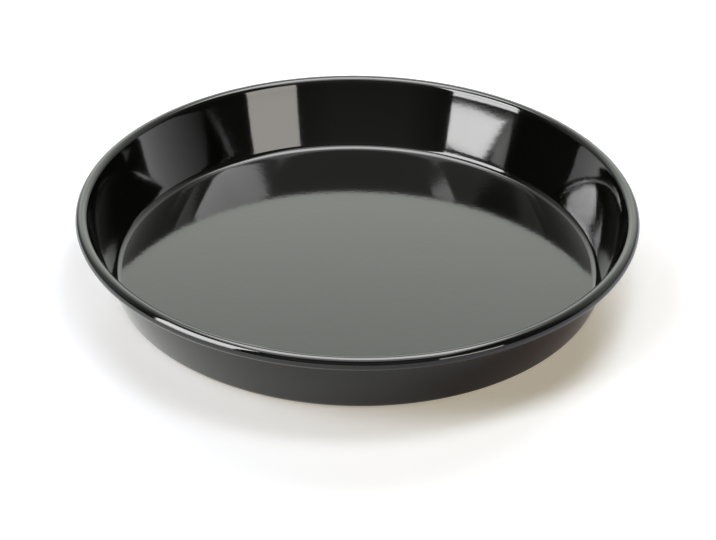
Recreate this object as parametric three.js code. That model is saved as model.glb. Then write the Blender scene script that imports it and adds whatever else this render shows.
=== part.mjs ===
// Round pizza pan of enamelled steel. Millimetres, +Z up.
// The origin is the centre of the underside, on the surface that the pan stands on.
//
// One blank of sheet steel is drawn into a flat floor and a flared wall, and its edge is rolled
// outwards into a hollow bead. Vitreous enamel is then fired onto both faces, a ground coat and a
// cover coat. The sheet's inside face becomes the outer side of the bead, so the inside coats run
// over the rim, round the bead and over the cut edge. The outside coats end where the bead begins.
import * as THREE from "three";

// Sizes over the enamel
const RIM_DIAMETER = 320;
const HEIGHT = 44;
const BEAD_DIAMETER = 7.4;
const FLOOR_DIAMETER = 272; // flat part of the inside, up to the corner
const CORNER_RADIUS = 4.5; // inside, between floor and wall

// Thickness of the sheet, and of each coat on each of its faces
const STEEL_GAUGE = 0.8;
const GROUND_COAT = 0.1;
const COVER_COAT = 0.15;

// Two layers that are fired together stay this far apart, so that their faces never cross
const BOND_GAP = 0.004;

// Clear slot between the coated edge of the bead and the coated wall
const BEAD_SLOT = 1.0;

// Fineness of the round stretches
const ROUND_SEGMENTS = 64;
const CORNER_STEPS = 4;
const BEAD_STEPS = 12;

// The layers through the sheet, each with the depths of its two faces below the inside surface
const insideCover = facesOf(0, COVER_COAT);
const insideGround = facesOf(insideCover.outer + BOND_GAP, GROUND_COAT);
const sheet = facesOf(insideGround.outer + BOND_GAP, STEEL_GAUGE);
const outsideGround = facesOf(sheet.outer + BOND_GAP, GROUND_COAT);
const outsideCover = facesOf(outsideGround.outer + BOND_GAP, COVER_COAT);
const fullThickness = outsideCover.outer;

function facesOf(inner, thickness) {
  return { inner, outer: inner + thickness };
}

// Section of the pan, as radius and height: the corner and the bead are arcs about two centres,
// and the wall is the straight line that touches both, on opposite sides.
const beadRadius = BEAD_DIAMETER / 2;
const cornerCentre = new THREE.Vector2(FLOOR_DIAMETER / 2, fullThickness + CORNER_RADIUS);
const beadCentre = new THREE.Vector2(RIM_DIAMETER / 2 - beadRadius, HEIGHT - beadRadius);
const centreLine = beadCentre.clone().sub(cornerCentre);
const wallFlare = Math.acos((CORNER_RADIUS + beadRadius) / centreLine.length()) - centreLine.angle();

// Angles about the two centres, anticlockwise from straight outwards
const cornerStart = -Math.PI / 2;
const cornerEnd = -wallFlare;
const beadStart = Math.PI - wallFlare;

// How far each layer turns round the bead: the cover coat stops at the slot, and the ground coat and
// the steel stop short of it by the thickness that covers their edge.
const slotAngle = Math.acos((beadRadius - fullThickness - BEAD_SLOT) / beadRadius);
const coverTurn = 2 * Math.PI - slotAngle;
const coverEdgeTurn = coverTurn - COVER_COAT / beadRadius;
const groundTurn = coverEdgeTurn - BOND_GAP / beadRadius;
const groundEdgeTurn = groundTurn - GROUND_COAT / beadRadius;
const steelTurn = groundEdgeTurn - BOND_GAP / beadRadius;

function onCircle(centre, radius, angle) {
  return new THREE.Vector2(centre.x + radius * Math.cos(angle), centre.y + radius * Math.sin(angle));
}

function onBead(depth, turn) {
  return onCircle(beadCentre, beadRadius - depth, beadStart - turn);
}

// One face of the sheet at a depth, from the centre of the floor to the top of the wall
function floorAndWall(depth) {
  const radius = CORNER_RADIUS + depth;
  const points = [new THREE.Vector2(0, cornerCentre.y - radius)];
  for (let step = 0; step <= CORNER_STEPS; step++) {
    const angle = THREE.MathUtils.lerp(cornerStart, cornerEnd, step / CORNER_STEPS);
    points.push(onCircle(cornerCentre, radius, angle));
  }
  points.push(onBead(depth, 0));
  return points;
}

// The same face carried on round the bead
function floorWallAndBead(depth, turn) {
  const points = floorAndWall(depth);
  for (let step = 1; step <= BEAD_STEPS; step++) {
    points.push(onBead(depth, (turn * step) / BEAD_STEPS));
  }
  return points;
}

// A layer is spun from the section between its outside face and its inside face.
// Both start on the axis. The edge holds what lies between their far ends.
function layer(name, material, outsideFace, insideFace, edge = []) {
  const section = [...outsideFace, ...edge, ...insideFace.toReversed()];
  const mesh = new THREE.Mesh(new THREE.LatheGeometry(section, ROUND_SEGMENTS), material);
  mesh.name = name;
  return mesh;
}

const steel = new THREE.MeshStandardMaterial({ color: 0x85888c, roughness: 0.45, metalness: 1 });
const groundEnamel = new THREE.MeshStandardMaterial({ color: 0x1a1c24, roughness: 0.4 });
const blackEnamel = new THREE.MeshStandardMaterial({ color: 0x0c0d0d, roughness: 0.08 });

function steelCore() {
  return layer(
    "steel_core",
    steel,
    floorWallAndBead(sheet.outer, steelTurn),
    floorWallAndBead(sheet.inner, steelTurn),
  );
}

// Each inside coat hooks round the edge of the layer below it, as deep as the steel
function insideGroundCoat() {
  return layer(
    "inside_ground_coat",
    groundEnamel,
    floorWallAndBead(insideGround.outer, groundEdgeTurn),
    floorWallAndBead(insideGround.inner, groundTurn),
    [onBead(sheet.outer, groundEdgeTurn), onBead(sheet.outer, groundTurn)],
  );
}

function insideCoverCoat() {
  return layer(
    "inside_cover_coat",
    blackEnamel,
    floorWallAndBead(insideCover.outer, coverEdgeTurn),
    floorWallAndBead(insideCover.inner, coverTurn),
    [onBead(sheet.outer, coverEdgeTurn), onBead(sheet.outer, coverTurn)],
  );
}

function outsideGroundCoat() {
  return layer(
    "outside_ground_coat",
    groundEnamel,
    floorAndWall(outsideGround.outer),
    floorAndWall(outsideGround.inner),
  );
}

function outsideCoverCoat() {
  return layer(
    "outside_cover_coat",
    blackEnamel,
    floorAndWall(outsideCover.outer),
    floorAndWall(outsideCover.inner),
  );
}

// The layers are spun about Y, and the spun group is stood up so that the axis is Z
const spun = new THREE.Group();
spun.rotation.x = Math.PI / 2;
spun.add(
  steelCore(),
  insideGroundCoat(),
  insideCoverCoat(),
  outsideGroundCoat(),
  outsideCoverCoat(),
);

const pizzaPan = new THREE.Group();
pizzaPan.add(spun);

export default pizzaPan;
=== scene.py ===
# Round pizza pan of black enamelled steel, standing on a pale studio floor.
# The pan is drawn as its maker builds it up: a sheet of steel with a rolled rim, then a ground coat and a
# glossy black cover coat on each face. Every layer is its own piece, spun from a section line.
from math import acos, atan2, cos, pi, radians, sin

import bmesh
import bpy
from mathutils import Matrix, Vector


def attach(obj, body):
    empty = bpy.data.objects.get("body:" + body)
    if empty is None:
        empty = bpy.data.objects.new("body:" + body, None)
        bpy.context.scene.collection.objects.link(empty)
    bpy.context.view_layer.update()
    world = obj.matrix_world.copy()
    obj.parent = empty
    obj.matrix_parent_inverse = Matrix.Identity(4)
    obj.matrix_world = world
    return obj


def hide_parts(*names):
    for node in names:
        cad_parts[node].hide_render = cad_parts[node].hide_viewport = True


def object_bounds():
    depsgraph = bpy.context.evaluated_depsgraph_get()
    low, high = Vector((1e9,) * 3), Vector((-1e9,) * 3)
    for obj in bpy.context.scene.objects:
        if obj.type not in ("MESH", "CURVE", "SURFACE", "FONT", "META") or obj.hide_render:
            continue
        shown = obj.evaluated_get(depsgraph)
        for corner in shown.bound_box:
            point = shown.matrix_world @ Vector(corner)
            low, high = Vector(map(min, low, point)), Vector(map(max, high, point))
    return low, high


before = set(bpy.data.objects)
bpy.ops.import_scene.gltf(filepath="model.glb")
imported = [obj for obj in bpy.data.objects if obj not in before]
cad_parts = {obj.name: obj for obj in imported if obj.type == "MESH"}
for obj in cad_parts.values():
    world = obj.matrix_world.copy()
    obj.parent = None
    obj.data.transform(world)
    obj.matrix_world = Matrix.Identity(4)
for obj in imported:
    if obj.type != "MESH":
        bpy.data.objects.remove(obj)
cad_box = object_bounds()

MM = 0.001

# Sizes of the pan over the enamel. The rim and the height are the CAD model's own.
RIM_RADIUS = cad_box[1][0]
HEIGHT = cad_box[1][2]
FLOOR_RADIUS = 136 * MM
CORNER_RADIUS = 4.5 * MM
WALL_HOLLOW_RADIUS = 480 * MM
BEAD_RADIUS = 3.7 * MM

# Where the rolled sheet ends, just short of the wall: an angle round the bead, from straight outwards
BEAD_END = radians(-130)

# Thickness of the sheet, of each coat, and of the bond between two layers
STEEL_GAUGE = 0.8 * MM
GROUND_COAT = 0.1 * MM
COVER_COAT = 0.15 * MM
BOND = 0.004 * MM

# Depths of each layer's two faces below the inside surface
INSIDE_COVER = (0, COVER_COAT)
INSIDE_GROUND = (INSIDE_COVER[1] + BOND, INSIDE_COVER[1] + BOND + GROUND_COAT)
SHEET = (INSIDE_GROUND[1] + BOND, INSIDE_GROUND[1] + BOND + STEEL_GAUGE)
OUTSIDE_GROUND = (SHEET[1] + BOND, SHEET[1] + BOND + GROUND_COAT)
OUTSIDE_COVER = (OUTSIDE_GROUND[1] + BOND, OUTSIDE_GROUND[1] + BOND + COVER_COAT)
FULL_THICKNESS = OUTSIDE_COVER[1]
MIDDLE_OF_SHEET = sum(SHEET) / 2

# Fineness of the meshes
SECTORS = 16
SECTOR_STEPS = 16
FLOOR_STEPS = 34
CORNER_STEPS = 14
WALL_STEPS = 14
BEAD_STEPS = 56
EDGE_STEPS = 10
WELD_DISTANCE = 0.0005 * MM
CREASE_ANGLE = radians(50)

# Cover coat: its colour, its fine peel, which fades between two heights from the floor to the wall, its
# slow sag, and its roughness, which rises a little with the sag
COVER_COLOUR = "#0b0b09"
ENAMEL_IOR = 1.52
PEEL_SIZE = 3 * MM
PEEL_HEIGHT = 0.022 * MM
PEEL_FADE = (2 * MM, 8 * MM)
WALL_PEEL_SHARE = 0.2
SAG_SIZE = 45 * MM
SAG_HEIGHT = 0.05 * MM
FLOOR_ROUGHNESS = 0.07
WALL_ROUGHNESS = 0.04
SAG_ROUGHNESS = 0.02

# Ground coat: its colour, and its specks of oxide, which come in between two levels of a noise
GROUND_COLOUR = "#23252c"
GROUND_ROUGHNESS = 0.4
SPECK_COLOUR = "#3d4350"
SPECK_SIZE = 0.8 * MM
SPECK_LEVELS = (0.52, 0.66)

# Bare sheet: its colour and roughness between the mill's lines and on them. The lines are wider than
# real ones, so that they would show in a picture of the whole sheet.
SHEET_COLOURS = ("#adafb4", "#cbcdd0")
SHEET_ROUGHNESS = (0.52, 0.32)
MILL_LINE_LENGTH = 40 * MM
MILL_LINE_WIDTH = 0.3 * MM

# The camera, as it stood to the pan in the photograph
CAMERA_DISTANCE = 1.0802
CAMERA_ELEVATION = radians(32.327)
CAMERA_PITCH = radians(32.499)
CAMERA_PAN = radians(0.042)
CAMERA_ROLL = radians(0.753)
CAMERA_LENS = 93.2
CAMERA_SENSOR = 36

# The floor of the studio, a board with a glow of its own, white far away. Near the pan the glow is dimmer,
# a painted shadow round it, neutral to the left and warm to the right to the camera; as the enamel mirrors
# it, it is a painted reflection, light left and dark right.
BOARD_SIZE = 8
BOARD_COLOUR = "#e2e8f2"
BOARD_ROUGHNESS = 0.9
PAINTED_SHADOW_GLOW = ("#a39c91", "#a89f8d")
PAINTED_SHADOW_GLOW_IN_ENAMEL = ("#cac8bc", "#7e7267")
FAR_GLOW = "#ffffff"
PAINTED_SHADE_LEFT_TO_RIGHT = (-0.1, 0.05)
PAINTED_SHADOW_NEAR_TO_FAR = (0.4, 1.2)

# The backdrop's light, and how it changes with the direction from the pan: the axis, where the change
# starts and ends on it, and the factors there
BACKDROP_COLOUR = "#fbfff8"
BACKDROP_STRENGTH = 2.1
BACKDROP_CHANGES = [
    ("X", -0.7, -0.35, 0.2, 1.0),
    ("X", 0.2, 0.75, 1.0, 0.3),
    ("Y", -0.05, 0.3, 0.12, 1.0),
    ("Z", 0.1, 0.42, 0.45, 1.0),
    ("Z", 0.45, 0.75, 1.4, 0.6),
]

# Lamps and cards stand round the pan. Their azimuth turns from straight behind it towards the right, and
# their elevation rises from its floor, both in degrees. A radiance of 1 is display white.
PAN_MIDDLE = (0, 0, 0.02)

# Lamps that light the board and the pan, but don't show in the enamel:
# name, azimuth, elevation, distance, size, radiance
LAMPS = [
    ("overhead_lamp", 0, 90, 1.3, (0.45, 0.45), 3.6),
    ("left_front_lamp", -120, 45, 1.3, (0.45, 0.85), 7.65),
    ("right_high_lamp", 60, 75, 1.3, (0.45, 0.45), 7.2),
    ("back_right_lamp", 30, 35, 1.3, (0.45, 0.45), 14.1),
    ("back_left_lamp", -30, 35, 1.3, (0.45, 0.45), 6.75),
]

# Panels that show in the enamel, but don't light the board:
# name, azimuth, elevation, distance, size, radiance, colour, roll
PANELS = [
    ("overhead_panel", 0, 90, 1.17, (1.24, 1.4), 2.3, "#ffffff", 0),
    ("overhead_core", 0, 79.2, 1.19, (0.9, 0.75), 6.8, "#ffffff", 0),
    ("key_panel", -121.1, 6.8, 1.33, (0.76, 0.101), 14, "#ffffff", 7.2),
    ("right_panel", 139.5, 11.6, 1.25, (0.51, 0.26), 6.5, "#fffaf2", -5.8),
]

# Cards that show in the enamel after just so many mirrorings, because the pan also mirrors itself. Each
# is aimed at the middle of the pan, or close to the wall that mirrors it last. Seen from the pan, it
# fades to the right by a share of its radiance:
# name, azimuth, elevation, distance, size, radiance, roll, aim, fade, mirrorings
GLINTS = [
    ("right_high_glint", 92.5, 59.7, 1.37, (0.74, 0.31), 20, 0, PAN_MIDDLE, 0, 2),
    ("right_back_glint", 62, 53, 1.4, (0.3, 0.12), 3.6, 0, PAN_MIDDLE, 0, 2),
    ("left_back_glint", -62, 53, 1.4, (0.4, 0.14), 1.6, 0, PAN_MIDDLE, 0, 2),
    ("left_high_glint", -115, 62.5, 1.35, (0.15, 0.21), 18, 0, PAN_MIDDLE, 0, 2),
    ("front_glint", 159, 21.7, 0.22, (0.1175, 0.066), 38, 0, (0.0218, 0.1122, 0.026), 0.9, 2),
    ("key_top_glint", -118.8, 30.2, 1.253, (0.72, 0.84), 14, 7.87, PAN_MIDDLE, 0, 1),
    ("key_side_glint", -133.5, 19, 1.25, (0.74, 0.4), 18, 0, (-0.02, 0.14, 0.01), 0, 2),
    ("key_glint", -119, 30, 1.15, (0.73, 0.12), 90, 0, PAN_MIDDLE, 0, 3),
    ("left_glint", -104, 38, 1.3, (0.4, 0.2), 45, 0, (-0.03, 0.135, 0.01), 0, 3),
    ("right_glint", 124.5, 33, 1.35, (0.38, 0.17), 75, 0, (-0.152, 0.01, 0.04), 0.5, 2),
]

# Two counts of mirrorings are the same when they differ by less than this
COUNT_TOLERANCE = 0.5


def polar(radius, angle):
    """A step in the section plane, where X is the radius and Z the height."""
    return Vector((radius * cos(angle), 0, radius * sin(angle)))


def angle_of(step):
    """The angle of a step in the section plane, from straight outwards."""
    return atan2(step.z, step.x)


# Centres of the arcs that make up the section. The hollow of the wall runs on from the corner and
# turns into the bead, so its centre follows from the three sides of a triangle.
corner_centre = Vector((FLOOR_RADIUS, 0, FULL_THICKNESS + CORNER_RADIUS))
bead_centre = Vector((RIM_RADIUS - BEAD_RADIUS, 0, HEIGHT - BEAD_RADIUS))
corner_to_bead = bead_centre - corner_centre
corner_to_wall_centre = WALL_HOLLOW_RADIUS - CORNER_RADIUS
bead_to_wall_centre = WALL_HOLLOW_RADIUS + BEAD_RADIUS
opening = acos(
    (corner_to_bead.length_squared + corner_to_wall_centre**2 - bead_to_wall_centre**2)
    / (2 * corner_to_bead.length * corner_to_wall_centre)
)
wall_centre = corner_centre + polar(corner_to_wall_centre, angle_of(corner_to_bead) + opening)

# Angles at which the wall starts and ends, and through which the bead is rolled
wall_start = angle_of(corner_centre - wall_centre)
wall_end = angle_of(bead_centre - wall_centre)
bead_turn = BEAD_END - (wall_end + pi)


def draw_straight(section, tip, step, count):
    """Draws the section line on from its tip, by a straight step."""
    drawn = bmesh.ops.spin(
        section, geom=[tip], cent=tip.co, axis=(0, 1, 0), dvec=step / count, angle=0, steps=count
    )
    return drawn["geom_last"][0]


def draw_arc(section, tip, centre, angle, count):
    """Draws the line on round a centre, anticlockwise where the angle is positive, seen with the radius
    to the right."""
    drawn = bmesh.ops.spin(section, geom=[tip], cent=centre, axis=(0, -1, 0), angle=angle, steps=count)
    return drawn["geom_last"][0]


def draw_floor_and_wall(section, depth):
    """A face that runs from the middle of the floor up to where the bead begins."""
    tip = section.verts.new((0, 0, FULL_THICKNESS - depth))
    tip = draw_straight(section, tip, Vector((FLOOR_RADIUS, 0, 0)), FLOOR_STEPS)
    tip = draw_arc(section, tip, corner_centre, wall_start + pi / 2, CORNER_STEPS)
    return draw_arc(section, tip, wall_centre, wall_end - wall_start, WALL_STEPS)


def draw_floor_wall_and_bead(section, depth):
    """A face that runs on round the bead, and stops at the cut edge of the sheet."""
    tip = draw_floor_and_wall(section, depth)
    return draw_arc(section, tip, bead_centre, bead_turn, BEAD_STEPS)


def draw_over_cut_edge(section, depth):
    """A face that runs on round the bead, and round the cut edge of the sheet at its end."""
    tip = draw_floor_wall_and_bead(section, depth)
    edge_centre = bead_centre + polar(BEAD_RADIUS - MIDDLE_OF_SHEET, BEAD_END)
    return draw_arc(section, tip, edge_centre, -pi, EDGE_STEPS)


def object_from(shape, name, material):
    """Puts a finished bmesh into the scene."""
    mesh = bpy.data.meshes.new(name)
    shape.to_mesh(mesh)
    shape.free()
    mesh.materials.append(material)
    made = bpy.data.objects.new(name, mesh)
    bpy.context.scene.collection.objects.link(made)
    return made


def spin_layer(name, faces, depths, material):
    """Spins the section between two faces, which both start on the axis, into a closed piece."""
    section = bmesh.new()
    first_tip = faces[0](section, depths[0])
    second_tip = faces[1](section, depths[1])
    section.edges.new((first_tip, second_tip))
    sector = 2 * pi / SECTORS
    axis = {"cent": (0, 0, 0), "axis": (0, 0, 1)}
    line = section.verts[:] + section.edges[:]
    bmesh.ops.spin(section, geom=line, angle=sector, steps=SECTOR_STEPS, **axis)
    wedge = section.verts[:] + section.edges[:] + section.faces[:]
    bmesh.ops.spin(
        section, geom=wedge, angle=2 * pi - sector, steps=SECTORS - 1, use_duplicate=True, **axis
    )
    bmesh.ops.remove_doubles(section, verts=section.verts, dist=WELD_DISTANCE)
    bmesh.ops.recalc_face_normals(section, faces=section.faces)
    piece = object_from(section, name, material)
    piece.data.shade_smooth()
    piece.data.set_sharp_from_angle(angle=CREASE_ANGLE)
    return piece


def linear(hex_colour):
    """An sRGB colour, written as in a paint chart, in the linear values that shaders take."""
    channels = [int(hex_colour[start:start + 2], 16) / 255 for start in (1, 3, 5)]
    return [c / 12.92 if c <= 0.04045 else ((c + 0.055) / 1.055) ** 2.4 for c in channels] + [1]


def add_node(tree, kind, inputs, **settings):
    """Adds a node. An input is a plain value, or the socket that feeds it."""
    node = tree.nodes.new(kind)
    for name, value in settings.items():
        setattr(node, name, value)
    for name, value in inputs.items():
        if isinstance(value, bpy.types.NodeSocket):
            tree.links.new(value, node.inputs[name])
        else:
            node.inputs[name].default_value = value
    return node


def new_material(name):
    """A material whose nodes are still to be added."""
    material = bpy.data.materials.new(name)
    material.use_nodes = True
    material.node_tree.nodes.clear()
    return material


def black_vitreous_enamel():
    """Glass fired onto steel: jet black, with sharp wet reflections. Those in the floor look a little
    frayed, because the coat lies thicker there and sets with a fine peel."""
    material = new_material("black_vitreous_enamel")
    tree = material.node_tree
    place = add_node(tree, "ShaderNodeTexCoord", {}).outputs["Object"]
    height = add_node(tree, "ShaderNodeSeparateXYZ", {"Vector": place}).outputs["Z"]
    on_wall = add_node(
        tree,
        "ShaderNodeMapRange",
        {"Value": height, "From Min": PEEL_FADE[0], "From Max": PEEL_FADE[1]},
    ).outputs["Result"]
    peel = add_node(
        tree, "ShaderNodeTexNoise", {"Vector": place, "Scale": 1 / PEEL_SIZE, "Detail": 2.0}
    ).outputs["Fac"]
    sag = add_node(
        tree, "ShaderNodeTexNoise", {"Vector": place, "Scale": 1 / SAG_SIZE, "Detail": 1.0}
    ).outputs["Fac"]
    peel_strength = add_node(
        tree, "ShaderNodeMapRange", {"Value": on_wall, "To Min": 1.0, "To Max": WALL_PEEL_SHARE}
    ).outputs["Result"]
    floor_or_wall = add_node(
        tree,
        "ShaderNodeMapRange",
        {"Value": on_wall, "To Min": FLOOR_ROUGHNESS, "To Max": WALL_ROUGHNESS},
    ).outputs["Result"]
    roughness = add_node(
        tree,
        "ShaderNodeMath",
        {0: sag, 1: SAG_ROUGHNESS, 2: floor_or_wall},
        operation="MULTIPLY_ADD",
    ).outputs[0]
    peeled = add_node(
        tree, "ShaderNodeBump", {"Height": peel, "Distance": PEEL_HEIGHT, "Strength": peel_strength}
    ).outputs["Normal"]
    settled = add_node(
        tree,
        "ShaderNodeBump",
        {"Height": sag, "Distance": SAG_HEIGHT, "Strength": 1.0, "Normal": peeled},
    ).outputs["Normal"]
    shader = add_node(
        tree,
        "ShaderNodeBsdfPrincipled",
        {
            "Base Color": linear(COVER_COLOUR),
            "Roughness": roughness,
            "IOR": ENAMEL_IOR,
            "Normal": settled,
        },
    )
    add_node(tree, "ShaderNodeOutputMaterial", {"Surface": shader.outputs["BSDF"]})
    return material


def ground_coat_enamel():
    """The first firing: blue-black and satin, speckled by the oxides that hold it to the steel."""
    material = new_material("ground_coat_enamel")
    tree = material.node_tree
    place = add_node(tree, "ShaderNodeTexCoord", {}).outputs["Object"]
    speckle = add_node(
        tree, "ShaderNodeTexNoise", {"Vector": place, "Scale": 1 / SPECK_SIZE, "Detail": 2.0}
    ).outputs["Fac"]
    oxide = add_node(
        tree,
        "ShaderNodeMapRange",
        {"Value": speckle, "From Min": SPECK_LEVELS[0], "From Max": SPECK_LEVELS[1]},
    ).outputs["Result"]
    colour = add_node(
        tree,
        "ShaderNodeMix",
        {"Factor": oxide, "A": linear(GROUND_COLOUR), "B": linear(SPECK_COLOUR)},
        data_type="RGBA",
    ).outputs["Result"]
    shader = add_node(
        tree,
        "ShaderNodeBsdfPrincipled",
        {"Base Color": colour, "Roughness": GROUND_ROUGHNESS, "IOR": ENAMEL_IOR},
    )
    add_node(tree, "ShaderNodeOutputMaterial", {"Surface": shader.outputs["BSDF"]})
    return material


def drawn_sheet_steel():
    """Low-carbon steel: dull grey, with the fine straight lines that the rolling mill leaves."""
    material = new_material("drawn_sheet_steel")
    tree = material.node_tree
    place = add_node(tree, "ShaderNodeTexCoord", {}).outputs["Object"]
    stretched = add_node(
        tree,
        "ShaderNodeMapping",
        {"Vector": place, "Scale": (1 / MILL_LINE_LENGTH, 1 / MILL_LINE_WIDTH, 1 / MILL_LINE_WIDTH)},
    ).outputs["Vector"]
    lines = add_node(
        tree, "ShaderNodeTexNoise", {"Vector": stretched, "Scale": 1.0, "Detail": 2.0}
    ).outputs["Fac"]
    colour = add_node(
        tree,
        "ShaderNodeMix",
        {"Factor": lines, "A": linear(SHEET_COLOURS[0]), "B": linear(SHEET_COLOURS[1])},
        data_type="RGBA",
    ).outputs["Result"]
    roughness = add_node(
        tree,
        "ShaderNodeMapRange",
        {"Value": lines, "To Min": SHEET_ROUGHNESS[0], "To Max": SHEET_ROUGHNESS[1]},
    ).outputs["Result"]
    shader = add_node(
        tree,
        "ShaderNodeBsdfPrincipled",
        {"Base Color": colour, "Roughness": roughness, "Metallic": 1.0},
    )
    add_node(tree, "ShaderNodeOutputMaterial", {"Surface": shader.outputs["BSDF"]})
    return material


def ways_seen(tree):
    """Two factors, each 0 or 1: whether the camera looks straight at a thing, and whether it sees it in a
    reflection or through glass."""
    ray = add_node(tree, "ShaderNodeLightPath", {})
    mirrored = add_node(
        tree,
        "ShaderNodeMath",
        {0: ray.outputs["Is Glossy Ray"], 1: ray.outputs["Is Transmission Ray"]},
        operation="MAXIMUM",
    )
    return ray.outputs["Is Camera Ray"], mirrored.outputs[0]


def studio_sheet(name, place, material):
    """A flat sheet, 1 m square before it is put in its place. It belongs to the studio, not to the pan."""
    square = bmesh.new()
    square.loops.layers.uv.new("across")
    bmesh.ops.create_grid(square, x_segments=1, y_segments=1, size=0.5, matrix=place, calc_uvs=True)
    sheet = object_from(square, name, material)
    return sheet


def studio_floor():
    """Pale seamless board: it takes the pan's shadow, and a dimmer glow near the pan paints more shadow
    round it.
    """
    material = new_material("white_card_with_painted_shadow")
    tree = material.node_tree
    by_camera, in_mirror = ways_seen(tree)
    seen = add_node(
        tree, "ShaderNodeMath", {0: by_camera, 1: in_mirror}, operation="MAXIMUM"
    ).outputs[0]
    place = add_node(tree, "ShaderNodeTexCoord", {}).outputs["Object"]
    sideways = add_node(tree, "ShaderNodeSeparateXYZ", {"Vector": place}).outputs["X"]
    # Painted shade: near the pan the glow is warmer to the right, and as the enamel mirrors it, it is
    # darker there.
    painted_shade_to_the_right = add_node(
        tree,
        "ShaderNodeMapRange",
        {"Value": sideways, "From Min": PAINTED_SHADE_LEFT_TO_RIGHT[0], "From Max": PAINTED_SHADE_LEFT_TO_RIGHT[1]},
    ).outputs["Result"]
    left, right, left_in_enamel, right_in_enamel, far = [
        add_node(tree, "ShaderNodeEmission", {"Color": linear(colour), "Strength": seen}).outputs[0]
        for colour in (*PAINTED_SHADOW_GLOW, *PAINTED_SHADOW_GLOW_IN_ENAMEL, FAR_GLOW)
    ]
    direct = add_node(tree, "ShaderNodeMixShader", {0: painted_shade_to_the_right, 1: left, 2: right}).outputs[0]
    mirrored = add_node(
        tree, "ShaderNodeMixShader", {0: painted_shade_to_the_right, 1: left_in_enamel, 2: right_in_enamel}
    ).outputs[0]
    near_with_painted_shadow = add_node(tree, "ShaderNodeMixShader", {0: in_mirror, 1: direct, 2: mirrored}).outputs[0]
    distance = add_node(
        tree, "ShaderNodeVectorMath", {0: place}, operation="LENGTH"
    ).outputs["Value"]
    # Painted shadow: the glow is dim near the pan and rises to white further away.
    painted_shadow_fade = add_node(
        tree,
        "ShaderNodeMapRange",
        {"Value": distance, "From Min": PAINTED_SHADOW_NEAR_TO_FAR[0], "From Max": PAINTED_SHADOW_NEAR_TO_FAR[1]},
    ).outputs["Result"]
    glow_with_painted_shadow = add_node(tree, "ShaderNodeMixShader", {0: painted_shadow_fade, 1: near_with_painted_shadow, 2: far}).outputs[0]
    board = add_node(
        tree,
        "ShaderNodeBsdfPrincipled",
        {
            "Base Color": linear(BOARD_COLOUR),
            "Roughness": BOARD_ROUGHNESS,
            "Specular IOR Level": 0.0,
        },
    ).outputs["BSDF"]
    shader = add_node(tree, "ShaderNodeAddShader", {0: board, 1: glow_with_painted_shadow})
    add_node(tree, "ShaderNodeOutputMaterial", {"Surface": shader.outputs[0]})
    studio_sheet("studio_floor", Matrix.Scale(BOARD_SIZE, 4), material)


def studio_room():
    """A backdrop that curves round behind the pan. It shows only in the enamel, and the camera itself
    sees plain white there."""
    world = bpy.data.worlds.new("studio_room")
    bpy.context.scene.world = world
    world.use_nodes = True
    tree = world.node_tree
    tree.nodes.clear()
    towards = add_node(tree, "ShaderNodeTexCoord", {}).outputs["Generated"]
    split = add_node(tree, "ShaderNodeSeparateXYZ", {"Vector": towards})
    strength = BACKDROP_STRENGTH
    for axis, start, end, at_start, at_end in BACKDROP_CHANGES:
        factor = add_node(
            tree,
            "ShaderNodeMapRange",
            {
                "Value": split.outputs[axis],
                "From Min": start,
                "From Max": end,
                "To Min": at_start,
                "To Max": at_end,
            },
        ).outputs["Result"]
        strength = add_node(
            tree, "ShaderNodeMath", {0: strength, 1: factor}, operation="MULTIPLY"
        ).outputs[0]
    by_camera, in_mirror = ways_seen(tree)
    mirrored = add_node(
        tree, "ShaderNodeMath", {0: strength, 1: in_mirror}, operation="MULTIPLY"
    ).outputs[0]
    backdrop = add_node(
        tree,
        "ShaderNodeBackground",
        {"Color": linear(BACKDROP_COLOUR), "Strength": mirrored},
    ).outputs["Background"]
    white = add_node(
        tree, "ShaderNodeBackground", {"Color": linear("#ffffff"), "Strength": 1.0}
    ).outputs["Background"]
    shown = add_node(tree, "ShaderNodeMixShader", {0: by_camera, 1: backdrop, 2: white})
    add_node(tree, "ShaderNodeOutputWorld", {"Surface": shown.outputs["Shader"]})


def facing(aim, azimuth, elevation, distance, roll):
    """The place of something that faces a point of the pan from a distance."""
    around = radians(azimuth)
    up = radians(elevation)
    target = Vector(aim)
    place = target + Vector((sin(around) * cos(up), cos(around) * cos(up), sin(up))) * distance
    turned = (target - place).to_track_quat("-Z", "Y").to_matrix().to_4x4()
    return Matrix.Translation(place) @ turned @ Matrix.Rotation(radians(roll), 4, "Z")


def softbox(name, azimuth, elevation, distance, size, radiance, colour="#ffffff", roll=0):
    """A soft rectangular lamp, which the camera itself doesn't see."""
    lamp = bpy.data.lights.new(name, "AREA")
    lamp.shape = "RECTANGLE"
    lamp.size, lamp.size_y = size
    lamp.energy = radiance * pi * size[0] * size[1]
    lamp.color = linear(colour)[:3]
    stand = bpy.data.objects.new(name, lamp)
    bpy.context.scene.collection.objects.link(stand)
    stand.matrix_world = facing(PAN_MIDDLE, azimuth, elevation, distance, roll)
    stand.visible_camera = False
    return stand


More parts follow.
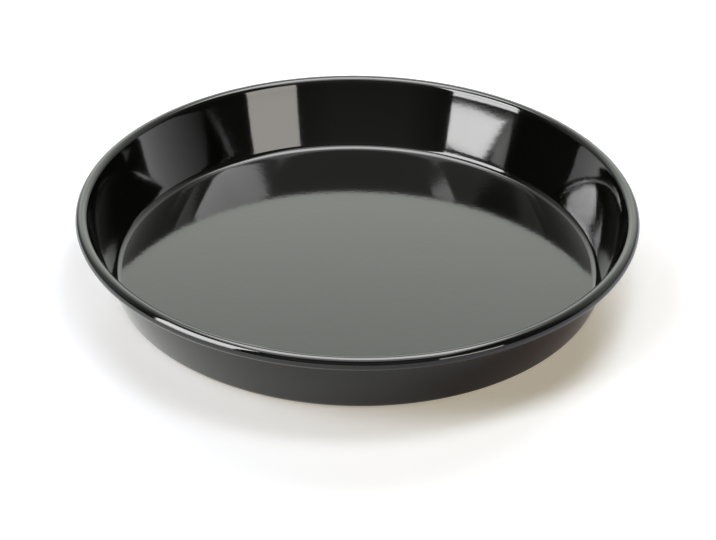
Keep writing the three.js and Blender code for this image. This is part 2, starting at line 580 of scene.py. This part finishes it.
def glint_card(name, azimuth, elevation, distance, size, radiance, roll, aim, fade, mirrorings):
    """A bright card that lights nothing. It is clear to a ray that was mirrored more or fewer times."""
    material = new_material(name)
    tree = material.node_tree
    depth = add_node(tree, "ShaderNodeLightPath", {}).outputs["Glossy Depth"]
    shows = add_node(
        tree,
        "ShaderNodeMath",
        {0: depth, 1: mirrorings, 2: COUNT_TOLERANCE},
        operation="COMPARE",
    ).outputs[0]
    place_on_card = add_node(tree, "ShaderNodeUVMap", {}).outputs["UV"]
    across = add_node(tree, "ShaderNodeSeparateXYZ", {"Vector": place_on_card}).outputs["X"]
    strength = add_node(
        tree,
        "ShaderNodeMapRange",
        {"Value": across, "To Min": radiance * (1 - fade), "To Max": radiance},
    ).outputs["Result"]
    clear = add_node(tree, "ShaderNodeBsdfTransparent", {}).outputs["BSDF"]
    bright = add_node(tree, "ShaderNodeEmission", {"Strength": strength}).outputs["Emission"]
    shader = add_node(tree, "ShaderNodeMixShader", {0: shows, 1: clear, 2: bright})
    add_node(tree, "ShaderNodeOutputMaterial", {"Surface": shader.outputs["Shader"]})
    material.cycles.emission_sampling = "NONE"
    place = facing(aim, azimuth, elevation, distance, roll) @ Matrix.Diagonal((*size, 1, 1))
    card = studio_sheet(name, place, material)
    card.visible_camera = False
    card.visible_diffuse = False
    card.visible_shadow = False


def camera():
    """The camera, with the lens and the sensor in millimetres."""
    lens = bpy.data.cameras.new("camera")
    lens.lens = CAMERA_LENS
    lens.sensor_width = CAMERA_SENSOR
    body = bpy.data.objects.new("camera", lens)
    bpy.context.scene.collection.objects.link(body)
    back = CAMERA_DISTANCE * cos(CAMERA_ELEVATION)
    up = CAMERA_DISTANCE * sin(CAMERA_ELEVATION)
    turned = (
        Matrix.Rotation(-CAMERA_PAN, 4, "Z")
        @ Matrix.Rotation(pi / 2 - CAMERA_PITCH, 4, "X")
        @ Matrix.Rotation(CAMERA_ROLL, 4, "Z")
    )
    body.matrix_world = Matrix.Translation((0, -back, up)) @ turned
    bpy.context.scene.camera = body


camera()
studio_room()
studio_floor()
for lamp in LAMPS:
    softbox(*lamp).visible_glossy = False
for panel in PANELS:
    softbox(*panel).visible_diffuse = False
for glint in GLINTS:
    glint_card(*glint)

# The finish for each material slot
finishes = {
    "black_enamel": black_vitreous_enamel(),
    "ground_enamel": ground_coat_enamel(),
    "steel": drawn_sheet_steel(),
}

# The two faces of a layer, by how far they run
OVER_THE_RIM = (draw_over_cut_edge, draw_over_cut_edge)
ROLLED_SHEET = (draw_over_cut_edge, draw_floor_wall_and_bead)
UP_TO_THE_RIM = (draw_floor_and_wall, draw_floor_and_wall)

# The layers, from the inside out: name, CAD node that it stands for, faces, their depths, slot
LAYERS = [
    ("inside_black_coat", "inside_cover_coat", OVER_THE_RIM, INSIDE_COVER, "black_enamel"),
    ("inside_first_coat", "inside_ground_coat", OVER_THE_RIM, INSIDE_GROUND, "ground_enamel"),
    ("pressed_sheet", "steel_core", ROLLED_SHEET, SHEET, "steel"),
    ("outside_first_coat", "outside_ground_coat", UP_TO_THE_RIM, OUTSIDE_GROUND, "ground_enamel"),
    ("outside_black_coat", "outside_cover_coat", UP_TO_THE_RIM, OUTSIDE_COVER, "black_enamel"),
]
for name, node, faces, depths, slot in LAYERS:
    piece = spin_layer(name, faces, depths, finishes[slot])
    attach(piece, "root")
    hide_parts(node)

bpy.context.scene.view_settings.view_transform = "Standard"
